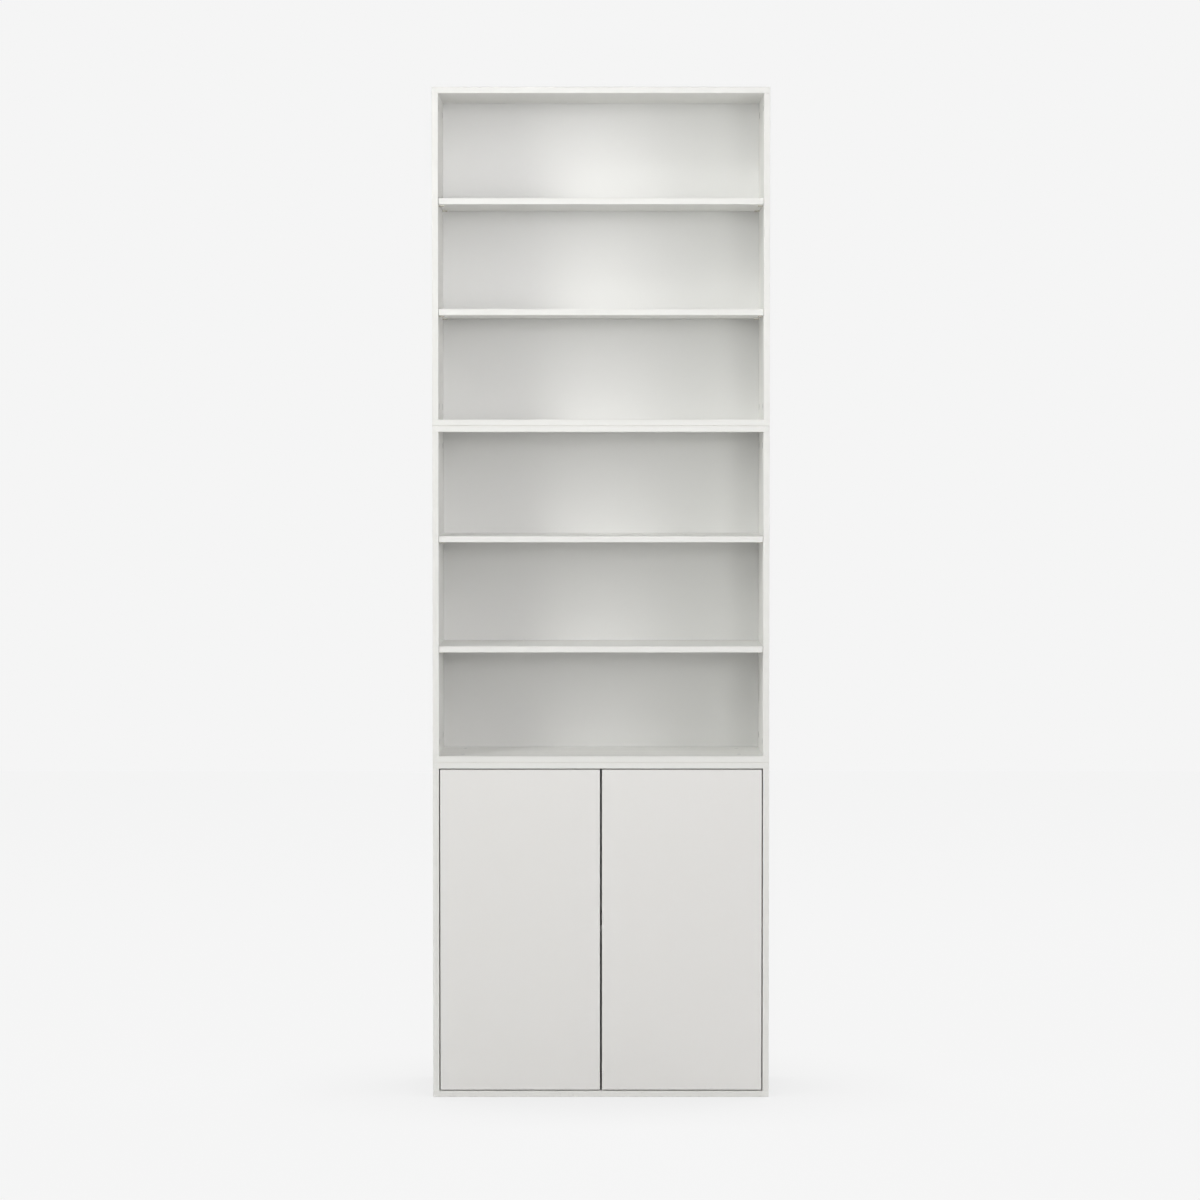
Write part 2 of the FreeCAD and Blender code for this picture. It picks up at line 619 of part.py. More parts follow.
def cup_boss(pivot, low, high):
    """A post from the cup's floor that holds a pivot."""
    r = PIVOT_RADIUS + BOSS_WALL
    across, inward = pivot
    foot = CUP_FLOOR - CUP_WALL / 2
    post = block(across - r, across + r, foot, inward, low, high)
    return post.fuse(pivot_rod(pivot, r, low, high))


def cup_pivots():
    """Pivots of one cup: place, lower end and upper end."""
    return [(CUP_OUTER_PIVOT, -ARM_HIGH, ARM_HIGH),
            (CUP_INNER_PIVOT, INNER_LOW - LINK_GAP / 2, BOSS_HIGH),
            (CUP_INNER_PIVOT, -BOSS_HIGH, LINK_GAP / 2 - INNER_LOW)]


def arm_pivots():
    """Pivots of one arm: place, lower end and upper end."""
    return [(ARM_OUTER_PIVOT, -ARM_HIGH, ARM_HIGH), (ARM_INNER_PIVOT, -INNER_HIGH, INNER_HIGH)]


def pivot_pins(pivots):
    """Plain pins along the pivots."""
    return [pivot_rod(place, PIVOT_RADIUS, low, high) for place, low, high in pivots]


def hinge_cup():
    """Drawn cup with a flange, two screw wings and the pivot bosses."""
    outside = CUP_RADIUS - CUP_SLACK
    rim = CUP_RADIUS + FLANGE_RIM
    profile = [(0, -CUP_DEPTH), (outside - CUP_BEVEL, -CUP_DEPTH), (outside, CUP_BEVEL - CUP_DEPTH),
               (outside, 0), (rim, 0), (rim, FLANGE_THICKNESS), (0, FLANGE_THICKNESS)]
    body = turned(profile, V(CUP_CENTRE, 0, 0), Y_AXIS)
    half = FLANGE_LENGTH / 2
    wings = rounded_block(CUP_SCREW_ACROSS - FLANGE_WING / 2, CUP_SCREW_ACROSS + FLANGE_WING / 2,
                          0, FLANGE_THICKNESS, -half, half, FLANGE_CORNER, Y_AXIS)
    hollow = rod(CUP_INSIDE, FLANGE_THICKNESS - CUP_FLOOR, V(CUP_CENTRE, CUP_FLOOR, 0), Y_AXIS)
    notch = block(CUP_CENTRE - rim, CUP_CENTRE - CUP_INSIDE / 2, -FLANGE_NOTCH_DEPTH, FLANGE_THICKNESS,
                  -ARM_LOW, ARM_LOW)
    body = body.fuse(wings).removeSplitter().cut([hollow, notch])
    bosses = []
    for pivot, near, far in ((CUP_OUTER_PIVOT, ARM_LOW, ARM_HIGH), (CUP_INNER_PIVOT, BOSS_LOW, BOSS_HIGH)):
        bosses += [cup_boss(pivot, near, far), cup_boss(pivot, -far, -near)]
    seats = [screw_seat(V(CUP_SCREW_ACROSS, FLANGE_THICKNESS, z), -Y_AXIS, FLANGE_THICKNESS)
             for z in (-CUP_SCREW_PITCH / 2, CUP_SCREW_PITCH / 2)]
    return body.fuse(bosses).cut(seats + pivot_pins(cup_pivots()))


def moved_inside(path, distance):
    """A bent path moved to its right by a distance, with mitred corners."""
    rights = []
    for a, b in zip(path, path[1:]):
        along = V(b[0] - a[0], b[1] - a[1], 0).normalize()
        rights.append(V(along.y, -along.x, 0))
    rights = [rights[0]] + rights + [rights[-1]]
    moved = []
    for place, before, after in zip(path, rights, rights[1:]):
        step = (before + after) * (distance / (1 + before.dot(after)))
        moved.append((place[0] + step.x, place[1] + step.y))
    return moved


def web_edges(arm, web):
    """The long edges of the arm that follow the web's bent path."""
    turns = [V(across, inward, 0) for across, inward in web]
    along = []
    for edge in arm.Edges:
        flat = [V(v.X, v.Y, 0) for v in edge.Vertexes]
        if len(flat) == 2 and all(any((p - t).Length < SAME_PLACE for t in turns) for p in flat):
            if (flat[1] - flat[0]).Length > SAME_PLACE:
                along.append(edge)
    return along


def hinge_arm():
    """Cranked channel: its cheeks carry the links, its web lies on the saddle.

    The rear screw stands in a slot that is open at the end, so that the arm slides off.
    """
    nose = V(ARM_INNER_PIVOT[0], ARM_INNER_PIVOT[1], 0)
    lean = (nose - V(ARM_OUTER_PIVOT[0], ARM_OUTER_PIVOT[1], 0)).normalize()
    ear = PIVOT_RADIUS + EYE_WALL
    left = nose + V(lean.y, -lean.x, 0) * ear
    right = nose - V(lean.y, -lean.x, 0) * ear
    top = SADDLE_TOP + LEAF
    web = [(top, ARM_REAR), (top, ARM_CRANK_START)] + ARM_CRANK
    outline = [(ARM_EDGE_ACROSS, ARM_REAR)] + ARM_FREE_EDGE + [(left.x, left.y), (right.x, right.y)]
    arm = flat_piece(outline + web[::-1], -ARM_HIGH, ARM_HIGH)
    arm = arm.fuse(pivot_rod(ARM_INNER_PIVOT, ear, -ARM_HIGH, ARM_HIGH)).removeSplitter()
    arm = arm.makeFillet(ARM_BEND, web_edges(arm, web))
    clear = 2 * CUP_RADIUS          # well past the arm wherever the channel is open
    inside = moved_inside(web, LEAF)
    inside[0] = (inside[0][0], ARM_REAR + LEAF)
    inside += [(inside[-1][0], ARM_WEB_END), (clear + top, ARM_WEB_END), (clear + top, -clear),
               (-clear, -clear), (-clear, ARM_REAR + LEAF)]
    channel = flat_piece(inside, -ARM_LOW, ARM_LOW)
    hole = ARM_SCREW_RADIUS + FITTING_SLACK
    screw_holes = [rod(hole, LEAF, V(SADDLE_TOP, q, 0), X_AXIS) for q in (PLATE_SCREWS, FIXING_SCREW)]
    slot = block(SADDLE_TOP, top, FIXING_SCREW, ARM_REAR, -hole, hole)
    return arm.cut([channel, slot] + screw_holes + pivot_pins(arm_pivots()))


def arm_screws():
    """Pan-headed screws that hold the arm on the saddle."""
    seat = LEAF + ARM_SCREW_DEPTH
    profile = [(0, -ARM_HEAD_HEIGHT), (ARM_HEAD_RADIUS - ARM_HEAD_BEVEL, -ARM_HEAD_HEIGHT),
               (ARM_HEAD_RADIUS, ARM_HEAD_BEVEL - ARM_HEAD_HEIGHT), (ARM_HEAD_RADIUS, 0),
               (ARM_SCREW_RADIUS, 0), (ARM_SCREW_RADIUS, seat), (0, seat)]
    return [turned(profile, V(SADDLE_TOP + LEAF, q, 0), -X_AXIS) for q in (PLATE_SCREWS, FIXING_SCREW)]


def plate_screw_levels():
    """Heights of the two plate screws from the hinge's middle plane."""
    return (-PLATE_SCREW_PITCH / 2, PLATE_SCREW_PITCH / 2)


def mounting_plate():
    """Winged plate on the cabinet side, with the saddle that the arm sits on."""
    reach = PLATE_SCREW_PITCH / 2 + PLATE_WING_REACH
    wings = rounded_block(SIDE_ACROSS, PLATE_TOP,
                          PLATE_SCREWS - PLATE_WING / 2, PLATE_SCREWS + PLATE_WING / 2,
                          -reach, reach, PLATE_CORNER, X_AXIS)
    half = ARM_LOW - SADDLE_SLACK
    saddle = block(SIDE_ACROSS, SADDLE_TOP, SADDLE_START, ARM_REAR, -half, half)
    seats = [screw_seat(V(PLATE_TOP, PLATE_SCREWS, z), -X_AXIS, PLATE_THICKNESS)
             for z in plate_screw_levels()]
    thread_depth = ARM_SCREW_DEPTH + HOLE_END_GAP
    threads = [rod(ARM_SCREW_RADIUS + FITTING_SLACK, thread_depth, V(SADDLE_TOP, q, 0), -X_AXIS)
               for q in (PLATE_SCREWS, FIXING_SCREW)]
    return wings.fuse(saddle).removeSplitter().cut(seats + threads)


# ---------------------------------------------------------------- doors and what they carry
def cup_screw_places():
    """Points where the cup screws enter the back of the left door."""
    return [at_hinge(CUP_SCREW_ACROSS, 0, height + s * CUP_SCREW_PITCH / 2)
            for height in HINGE_HEIGHTS for s in (-1, 1)]


def plate_screw_places():
    """Points where the plate screws enter the left side."""
    return [at_hinge(SIDE_ACROSS, PLATE_SCREWS, height + z)
            for height in HINGE_HEIGHTS for z in plate_screw_levels()]


def left_door():
    """Inset door with its cup holes and pilot holes."""
    board = block(-INNER_X + SIDE_GAP, -CENTRE_GAP / 2, FRONT, DOOR_BACK, DOOR_LOW, DOOR_HIGH)
    board = ease_front(board, FRONT)
    cuts = [rod(CUP_RADIUS, CUP_HOLE_DEPTH, at_hinge(CUP_CENTRE, 0, height), -Y_AXIS)
            for height in HINGE_HEIGHTS]
    cuts += [pilot_hole(place, -Y_AXIS, FLANGE_THICKNESS) for place in cup_screw_places()]
    cuts.append(pilot_hole(strike_screw_place() - Y_AXIS * STRIKE_THICKNESS, -Y_AXIS, STRIKE_THICKNESS))
    return board.cut(cuts)


def door_screws():
    """Cup screws and the strike plate's screw."""
    screws = [wood_screw(place + Y_AXIS * FLANGE_THICKNESS, -Y_AXIS) for place in cup_screw_places()]
    return screws + [wood_screw(strike_screw_place(), -Y_AXIS)]


def case_screws():
    """Screws of the mounting plates and of the latch housing."""
    screws = [wood_screw(place + X_AXIS * PLATE_THICKNESS, -X_AXIS) for place in plate_screw_places()]
    ear_face = LATCH_TOP - LATCH_EAR_THICKNESS
    return screws + [wood_screw(V(x, y, ear_face), Z_AXIS) for x, y in latch_screw_places()]


def at_both_hinges(solids):
    """Pieces made in the hinge's frame, put in place on both hinges of the left door."""
    return [solid.translated(at_hinge(0, 0, height)) for height in HINGE_HEIGHTS for solid in solids]


def left_door_set():
    """Everything that belongs to the left door, by node name."""
    return {
        "door": [left_door()],
        "hinge_cups": at_both_hinges([hinge_cup()]),
        "cup_pins": at_both_hinges(pivot_pins(cup_pivots())),
        "outer_links": at_both_hinges([outer_link()]),
        "inner_links": at_both_hinges([inner_link()]),
        "hinge_arms": at_both_hinges([hinge_arm()]),
        "arm_pins": at_both_hinges(pivot_pins(arm_pivots())),
        "arm_screws": at_both_hinges(arm_screws()),
        "hinge_plates": at_both_hinges([mounting_plate()]),
        "door_screws": door_screws(),
        "case_screws": case_screws(),
        "strike_plate": [strike_plate()],
        "latch_housing": [latch_housing()],
        "latch_plunger": [latch_plunger()],
        "latch_magnet": [magnet_block(0)],
    }


# ---------------------------------------------------------------- assembly
def carcass():
    """Every board and fitting that doesn't move."""
    nodes = {}
    last = len(BOX_NAMES) - 1
    for index, box_name in enumerate(BOX_NAMES):
        z0 = index * BOX_HEIGHT
        names = SHELF_NAMES[box_name]
        count = len(names)
        side = left_side(z0, count)
        top = end_panel(z0 + BOX_HEIGHT - BOARD, True, index < last, index > 0)
        if box_name == "base_box":
            side = side.cut([pilot_hole(place, -X_AXIS, PLATE_THICKNESS) for place in plate_screw_places()])
            latch_holes = [pilot_hole(V(x, y, LATCH_TOP), Z_AXIS, LATCH_EAR_THICKNESS)
                           for x, y in latch_screw_places()]
            top = top.cut(both_sides(latch_holes))
        nodes[box_name + "_bottom_panel"] = [end_panel(z0, False, index < last, index > 0)]
        nodes[box_name + "_top_panel"] = [top]
        nodes[box_name + "_left_side"] = [side]
        nodes[box_name + "_right_side"] = [mirrored(side)]
        nodes[box_name + "_back_panel"] = [back_panel(z0)]
        front_y = FRONT + SHELF_SETBACK
        if box_name == "base_box":
            front_y = FRONT + DOOR_THICKNESS + DOOR_TO_SHELF
        for name, underside in zip(names, shelf_undersides(count)):
            nodes[box_name + "_" + name] = [shelf(z0, underside, front_y)]
        nodes[box_name + "_shelf_pins"] = shelf_pins(z0, count)
    nodes["cams"] = cams()
    nodes["cam_bolts"] = cam_bolts()
    nodes["dowels"] = dowels()
    nodes["stacking_screws"] = stacking_screws()
    return nodes


def export(nodes):
    """One STEP file for each node."""
    os.makedirs("parts", exist_ok=True)
    for name, solids in nodes.items():
        shape = solids[0] if len(solids) == 1 else Part.makeCompound(solids)
        shape.exportStep("parts/" + name + ".step")
        print(name, len(shape.Solids), "valid" if shape.isValid() else "NOT VALID", round(shape.Volume))


pieces = carcass()
for name, solids in left_door_set().items():
    pieces["left_" + name] = solids
    pieces["right_" + name] = [mirrored(solid) for solid in solids]
export(pieces)
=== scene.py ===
# %% [markdown]
# # A white bookcase with cabinet doors
# The real thing is three equal boxes of melamine board, stacked and screwed together. Two stand
# open and hold shelves, and the one on the floor is closed by two plain doors.
# The construction model already gives every board, hinge and screw its shape and place. This
# lesson loads it, gives each piece the finish that its maker gave it, adds the threads, recesses
# and grooves that a construction model leaves out, and sets up the studio.

# %% Load the construction model
import json
import math

import bpy
import numpy as np
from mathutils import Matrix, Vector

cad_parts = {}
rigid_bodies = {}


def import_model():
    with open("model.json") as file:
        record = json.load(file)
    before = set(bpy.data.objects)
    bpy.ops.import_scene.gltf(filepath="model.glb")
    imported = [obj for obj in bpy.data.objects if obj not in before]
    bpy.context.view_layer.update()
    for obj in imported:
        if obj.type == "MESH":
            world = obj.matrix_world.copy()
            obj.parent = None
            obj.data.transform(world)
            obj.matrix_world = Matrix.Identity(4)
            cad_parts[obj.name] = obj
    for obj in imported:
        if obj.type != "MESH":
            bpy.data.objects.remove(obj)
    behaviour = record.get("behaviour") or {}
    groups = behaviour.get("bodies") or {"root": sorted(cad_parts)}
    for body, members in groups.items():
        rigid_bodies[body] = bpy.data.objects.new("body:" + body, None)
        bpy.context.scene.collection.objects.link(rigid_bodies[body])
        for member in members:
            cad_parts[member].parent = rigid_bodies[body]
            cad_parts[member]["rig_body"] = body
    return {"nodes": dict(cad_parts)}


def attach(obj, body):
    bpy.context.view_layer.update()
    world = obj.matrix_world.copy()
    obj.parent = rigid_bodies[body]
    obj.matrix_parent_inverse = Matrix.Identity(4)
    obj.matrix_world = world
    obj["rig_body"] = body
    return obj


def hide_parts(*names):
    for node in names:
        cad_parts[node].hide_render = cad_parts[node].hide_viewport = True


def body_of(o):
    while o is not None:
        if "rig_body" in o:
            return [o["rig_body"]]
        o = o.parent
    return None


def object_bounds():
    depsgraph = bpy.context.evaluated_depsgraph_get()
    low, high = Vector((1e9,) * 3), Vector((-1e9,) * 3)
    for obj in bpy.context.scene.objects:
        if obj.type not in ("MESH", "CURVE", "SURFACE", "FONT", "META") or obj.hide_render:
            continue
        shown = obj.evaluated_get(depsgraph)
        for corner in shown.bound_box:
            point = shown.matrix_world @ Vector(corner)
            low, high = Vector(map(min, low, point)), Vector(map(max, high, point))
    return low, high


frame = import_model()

BARE_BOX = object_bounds()
NODES = frame["nodes"]

# %% [markdown]
# ## Units and colours
# Blender works in metres, and a cabinet maker in millimetres, so one constant turns the one into
# the other. A finish is chosen as an sRGB hex value, but light adds up in linear values.
# The sRGB curve is a short straight part near black and a power of 2.4 above it.

# %% Millimetres and hex colours
MM = 0.001


def linear(hex_colour):
    """sRGB hex to linear RGBA: v / 12.92 below 0.04045, else ((v + 0.055) / 1.055) to the 2.4."""
    values = []
    for start in (1, 3, 5):
        v = int(hex_colour[start:start + 2], 16) / 255
        values.append(v / 12.92 if v <= 0.04045 else ((v + 0.055) / 1.055) ** 2.4)
    return (*values, 1.0)


print("a middle grey, #808080, is", round(linear("#808080")[0], 3), "in linear light")

# %% [markdown]
# ## Where the boards begin and end
# A board's finish changes from front to rear: an edge strip in front, and raw chips or fibre
# behind. The planes between them could be typed in, but they are read from the construction
# pieces here, so that they follow when a board is moved.

# %% Front and rear planes


def front_and_rear(node_name):
    """The least and the greatest Y of a construction piece, in metres."""
    depths = [corner[1] for corner in NODES[node_name].bound_box]
    return min(depths), max(depths)


SIDE_FRONT, SIDE_REAR = front_and_rear("top_box_left_side")
SHELF_FRONT = front_and_rear("top_box_upper_shelf")[0]
INNER_SHELF_FRONT = front_and_rear("base_box_inner_shelf")[0]
BACK_MIDDLE = sum(front_and_rear("top_box_back_panel")) / 2
PLANES = {"side front": SIDE_FRONT, "side rear": SIDE_REAR, "shelf front": SHELF_FRONT,
          "inner shelf front": INNER_SHELF_FRONT, "back middle": BACK_MIDDLE}
print({name: round(place / MM, 2) for name, place in PLANES.items()})

# %% [markdown]
# ## One helper for shader nodes
# Every finish below is a small graph of shader nodes. Setting one node up by hand takes five
# lines, so one function does it: it makes the node, sets its options, and then fills each input,
# with a link where it is given another node's output and with a plain value otherwise.
# Inputs go by their names. Math and Mix have several inputs of one name, so theirs go by number.

# %% The node helper
SHARE = 0
COLOUR_A = 6
COLOUR_B = 7
MIXED_COLOUR = 2
VECTOR_A = 4
VECTOR_B = 5
MIXED_VECTOR = 1


def add_node(tree, kind, inputs=None, **options):
    """A new node with its options set and its inputs linked or filled."""
    node = tree.nodes.new(kind)
    for name, value in options.items():
        setattr(node, name, value)
    for key, value in (inputs or {}).items():
        if isinstance(value, bpy.types.NodeSocket):
            tree.links.new(value, node.inputs[key])
        else:
            node.inputs[key].default_value = value
    return node


def new_finish(name):
    """An empty material and its node tree."""
    finish = bpy.data.materials.new(name)
    finish.use_nodes = True
    finish.node_tree.nodes.clear()
    return finish, finish.node_tree


print("a helper for nodes and one for empty materials")

# %% [markdown]
# ## Three patterns that real surfaces share
# Paper, lacquer, plating and mould grain all vary in the same three ways: two close tones run
# into each other, the shine drifts, and the surface rises and falls. Each is soft noise, scaled
# by a real size, so a size can be read off the object. Painted textures would do as well, but
# they would need unwrapping, and they stretch where a board is longer.

# %% Tones, drift and grain
NOISE_SPAN = (0.3, 0.7)          # nearly all values of the noise lie between these


def two_tones(tree, where, size, first, second, detail=2.0, ragged=0.5):
    """Two colours that run into each other over blobs about one size across, in metres."""
    cloud = add_node(tree, "ShaderNodeTexNoise", {"Vector": where, "Scale": 1 / size,
                                                  "Detail": detail, "Roughness": ragged})
    return add_node(tree, "ShaderNodeMix",
                    {SHARE: cloud.outputs["Fac"], COLOUR_A: linear(first), COLOUR_B: linear(second)},
                    data_type="RGBA").outputs[MIXED_COLOUR]


def drift(tree, where, size, low, high, detail=2.0, ragged=0.5, span=NOISE_SPAN):
    """A value that wanders from low to high over blobs about one size across, in metres.
    Noise inside the span is stretched to low and high in a straight line, and held outside it."""
    cloud = add_node(tree, "ShaderNodeTexNoise", {"Vector": where, "Scale": 1 / size,
                                                  "Detail": detail, "Roughness": ragged})
    return add_node(tree, "ShaderNodeMapRange",
                    {"Value": cloud.outputs["Fac"], "From Min": span[0], "From Max": span[1],
                     "To Min": low, "To Max": high}).outputs["Result"]


def grain_relief(tree, where, size, depth, detail=2.0, ragged=0.5):
    """A surface raised by noise, with blobs of one size and one real depth, both in metres."""
    cloud = add_node(tree, "ShaderNodeTexNoise", {"Vector": where, "Scale": 1 / size,
                                                  "Detail": detail, "Roughness": ragged})
    return add_node(tree, "ShaderNodeBump",
                    {"Height": cloud.outputs["Fac"], "Distance": depth}).outputs["Normal"]


print("three patterns, with noise values from", NOISE_SPAN[0], "to", NOISE_SPAN[1])

# %% [markdown]
# ## Melamine board
# The boards are particle board under a printed paper soaked in melamine resin, pressed hot
# against a steel plate. The plate leaves a fine pearl grain, and the resin a hard, dull shine of
# IOR 1.5. Where fingers go the grain is polished a little, so the roughness drifts over a hand's
# width. The front edges carry a strip of white ABS, trimmed flush, slightly greyer than the
# faces, with a thin line of glue behind it. The rear edges stay raw: pressed wood chips, brown
# and rough. Near the floor the faces are a little scuffed.
# Each of these is a layer of colour, and a later one covers the earlier ones. The pearl grain is
# really 0.3 mm and is drawn at 1.2 mm, the finest that shows.

# %% The melamine finish
PEARL_GRAIN = 1.2 * MM
PEARL_DEPTH = 0.03 * MM
PAPER_CLOUDS = 55 * MM
HAND_MARKS = 90 * MM
POLISHED = 0.40                  # roughness where hands go
UNTOUCHED = 0.50
BAND_THICKNESS = 0.7 * MM
BAND_WHITE = "#E5E5E2"
BAND_CLOUD = "#E3E3DF"
GLUE_LINE = 0.15 * MM
GLUE = "#CFC9B8"
SCUFF_SIZE = 7 * MM
SCUFF_HEIGHT = 25 * MM
SCUFF_SPAN = (0.60, 0.72)        # noise values where a scuff begins and where it is full
SCUFF_COVER = 0.35
SCUFF_GREY = "#B9B6AE"
RAW_EDGE = 0.3 * MM
RAW_EXTRA = 0.35                 # what raw chips add to the roughness
CHIP_SIZE = 2.6 * MM
CHIP_LIGHT = "#C9A67A"
CHIP_DARK = "#8F6C45"
RESIN_IOR = 1.5


def melamine_board(name, face, cloud, front=None):
    """Pressed melamine faces, an ABS strip and glue line behind the front, raw chips at the rear."""
    finish, tree = new_finish(name)
    where = add_node(tree, "ShaderNodeTexCoord").outputs["Object"]
    axis = add_node(tree, "ShaderNodeSeparateXYZ", {"Vector": where}).outputs
    layers = []
    if front is not None:
        strip = two_tones(tree, where, PAPER_CLOUDS, BAND_WHITE, BAND_CLOUD)
        band_rear = front + BAND_THICKNESS
        for plane, tone in ((band_rear + GLUE_LINE, linear(GLUE)), (band_rear, strip)):
            part = add_node(tree, "ShaderNodeMath", {0: axis["Y"], 1: plane}, operation="LESS_THAN")
            layers.append((part.outputs[0], tone))
    low = add_node(tree, "ShaderNodeMapRange", {"Value": axis["Z"], "From Max": SCUFF_HEIGHT,
                                                "To Min": 1.0, "To Max": 0.0}).outputs["Result"]
    scuff = drift(tree, where, SCUFF_SIZE, 0.0, SCUFF_COVER, detail=4, ragged=0.7, span=SCUFF_SPAN)
    scuffed = add_node(tree, "ShaderNodeMath", {0: low, 1: scuff}, operation="MULTIPLY").outputs[0]
    layers.append((scuffed, linear(SCUFF_GREY)))
    chips = add_node(tree, "ShaderNodeTexVoronoi", {"Vector": where, "Scale": 1 / CHIP_SIZE})
    chip_tone = add_node(tree, "ShaderNodeSeparateColor",
                         {"Color": chips.outputs["Color"]}).outputs["Red"]
    wood = add_node(tree, "ShaderNodeMix",
                    {SHARE: chip_tone, COLOUR_A: linear(CHIP_LIGHT), COLOUR_B: linear(CHIP_DARK)},
                    data_type="RGBA").outputs[MIXED_COLOUR]
    raw = add_node(tree, "ShaderNodeMath", {0: axis["Y"], 1: SIDE_REAR - RAW_EDGE},
                   operation="GREATER_THAN").outputs[0]
    layers.append((raw, wood))
    colour = two_tones(tree, where, PAPER_CLOUDS, face, cloud, detail=3)
    for cover, tone in layers:
        colour = add_node(tree, "ShaderNodeMix", {SHARE: cover, COLOUR_A: colour, COLOUR_B: tone},
                          data_type="RGBA").outputs[MIXED_COLOUR]
    shine = drift(tree, where, HAND_MARKS, POLISHED, UNTOUCHED)
    roughness = add_node(tree, "ShaderNodeMath", {0: raw, 1: RAW_EXTRA, 2: shine},
                         operation="MULTIPLY_ADD").outputs[0]
    normal = grain_relief(tree, where, PEARL_GRAIN, PEARL_DEPTH, detail=3)
    shader = add_node(tree, "ShaderNodeBsdfPrincipled", {"Base Color": colour, "Roughness": roughness,
                                                         "Normal": normal, "IOR": RESIN_IOR})
    add_node(tree, "ShaderNodeOutputMaterial", {"Surface": shader.outputs["BSDF"]})
    return finish


FACE_WHITE = "#F0F0ED"
CLOUD_WHITE = "#EEEEEB"
# The doors are the boards' melamine in a darker white: painted shade, so that they show dimmer than the
# boards' faces.
DOOR_SHADED_WHITE = "#E4E3E1"
DOOR_SHADED_CLOUD = "#E3E2DF"
board_white = melamine_board("pressed_melamine_white", FACE_WHITE, CLOUD_WHITE, SIDE_FRONT)
shelf_white = melamine_board("pressed_melamine_shelf", FACE_WHITE, CLOUD_WHITE, SHELF_FRONT)
inner_white = melamine_board("pressed_melamine_inner_shelf", FACE_WHITE, CLOUD_WHITE, INNER_SHELF_FRONT)
door_painted_shade = melamine_board("pressed_melamine_door_painted_shade", DOOR_SHADED_WHITE, DOOR_SHADED_CLOUD)
print("four melamine finishes, edge strip", BAND_THICKNESS / MM, "mm thick")

# %% [markdown]
# ## Lacquered hardboard backs
# The backs are hardboard 3 mm thick: wood fibres pressed on a wire screen. The side that shows is
# rolled with white lacquer, which is smoother than the boards and gives a broad, soft highlight.
# The rear keeps the brown fibre and the print of the screen, squares of about 1.6 mm, drawn at
# 3 mm here so that they show.

# %% The hardboard finish
LACQUER_WHITE = "#E0E0DE"
LACQUER_CLOUD = "#DFDFDD"
LACQUER_SHINE = (0.29, 0.31)     # least and greatest roughness
ROLLER_GRAIN = 4.0 * MM
ROLLER_DEPTH = 0.01 * MM
FIBRE_LIGHT = "#A58660"
FIBRE_DARK = "#7E6343"
FIBRE_SIZE = 1.5 * MM
FIBRE_EXTRA = 0.5                # what bare fibre adds to the roughness
SCREEN_PITCH = 3.0 * MM
SCREEN_DEPTH = 0.15 * MM


def lacquered_hardboard(name):
    """White roller lacquer in front of the board's middle plane, screen-printed fibre behind it.
    The print's height is the sine along X times the sine along Z, one turn for each wire."""
    finish, tree = new_finish(name)
    where = add_node(tree, "ShaderNodeTexCoord").outputs["Object"]
    axis = add_node(tree, "ShaderNodeSeparateXYZ", {"Vector": where}).outputs
    rear = add_node(tree, "ShaderNodeMath", {0: axis["Y"], 1: BACK_MIDDLE},
                    operation="GREATER_THAN").outputs[0]
    lacquer = two_tones(tree, where, PAPER_CLOUDS, LACQUER_WHITE, LACQUER_CLOUD, detail=3)
    fibre = two_tones(tree, where, FIBRE_SIZE, FIBRE_LIGHT, FIBRE_DARK, detail=4, ragged=0.7)
    colour = add_node(tree, "ShaderNodeMix", {SHARE: rear, COLOUR_A: lacquer, COLOUR_B: fibre},
                      data_type="RGBA").outputs[MIXED_COLOUR]
    wires = []
    for side in ("X", "Z"):
        turns = add_node(tree, "ShaderNodeMath", {0: axis[side], 1: 2 * math.pi / SCREEN_PITCH},
                         operation="MULTIPLY").outputs[0]
        wires.append(add_node(tree, "ShaderNodeMath", {0: turns}, operation="SINE").outputs[0])
    screen = add_node(tree, "ShaderNodeMath", {0: wires[0], 1: wires[1]},
                      operation="MULTIPLY").outputs[0]
    height = add_node(tree, "ShaderNodeMapRange", {"Value": screen, "From Min": -1.0}).outputs["Result"]
    printed = add_node(tree, "ShaderNodeBump",
                       {"Height": height, "Distance": SCREEN_DEPTH}).outputs["Normal"]
    rolled = grain_relief(tree, where, ROLLER_GRAIN, ROLLER_DEPTH, detail=3)
    normal = add_node(tree, "ShaderNodeMix", {SHARE: rear, VECTOR_A: rolled, VECTOR_B: printed},
                      data_type="VECTOR").outputs[MIXED_VECTOR]
    shine = drift(tree, where, HAND_MARKS, *LACQUER_SHINE)
    roughness = add_node(tree, "ShaderNodeMath", {0: rear, 1: FIBRE_EXTRA, 2: shine},
                         operation="MULTIPLY_ADD").outputs[0]
    shader = add_node(tree, "ShaderNodeBsdfPrincipled", {"Base Color": colour, "Roughness": roughness,
                                                         "Normal": normal, "IOR": RESIN_IOR})
    add_node(tree, "ShaderNodeOutputMaterial", {"Surface": shader.outputs["BSDF"]})
    return finish


back_white = lacquered_hardboard("lacquered_hardboard")
print("back finish", back_white.name)

# %% [markdown]
# ## Plated and cast metal
# The hinges are pressed from steel strip and nickel plated in a barrel, which leaves a warm satin
# shine with fine scratches from the other pieces. The screws are zinc plated, bluer and patchier.
# The cams are die-cast zinc, dull and slightly pitted. All are metals, so the surface shader is
# fully metallic, and only colour, roughness and grain differ.

# %% The metal finishes


